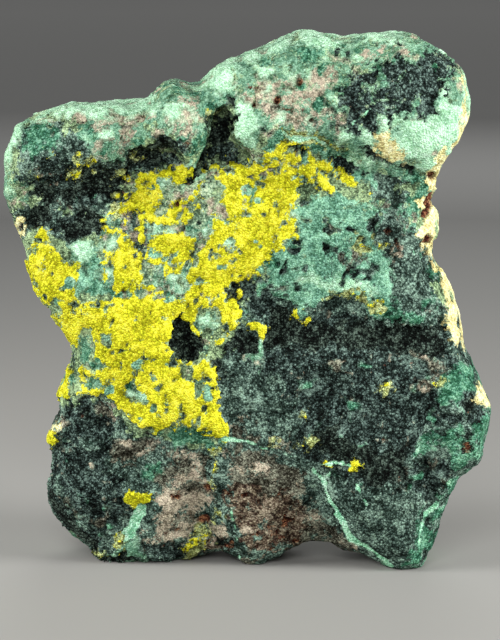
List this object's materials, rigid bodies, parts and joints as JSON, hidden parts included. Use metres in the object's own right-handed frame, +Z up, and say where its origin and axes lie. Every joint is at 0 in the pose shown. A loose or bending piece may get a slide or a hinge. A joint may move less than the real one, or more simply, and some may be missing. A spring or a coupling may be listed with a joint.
{
  "type": "guilleminite specimen",
  "caption": "Broken slab of dark rock under yellow, turquoise and pale green mineral crusts, free-standing on its lower lobes as a display or teaching specimen.",
  "frame": {"origin": "on the ground plane, below the middle of the specimen's bounding box", "axes": "+Z up the standing specimen, +Y from its mineral-covered face through its thickness to its back, +X to the right of someone who looks at that face"},
  "size_m": [0.0726, 0.0338, 0.0803],
  "materials": {
    "rock": "matte"
  },
  "bodies": {
    "root": {"specimen": "rock"}
  },
  "joints": []
}
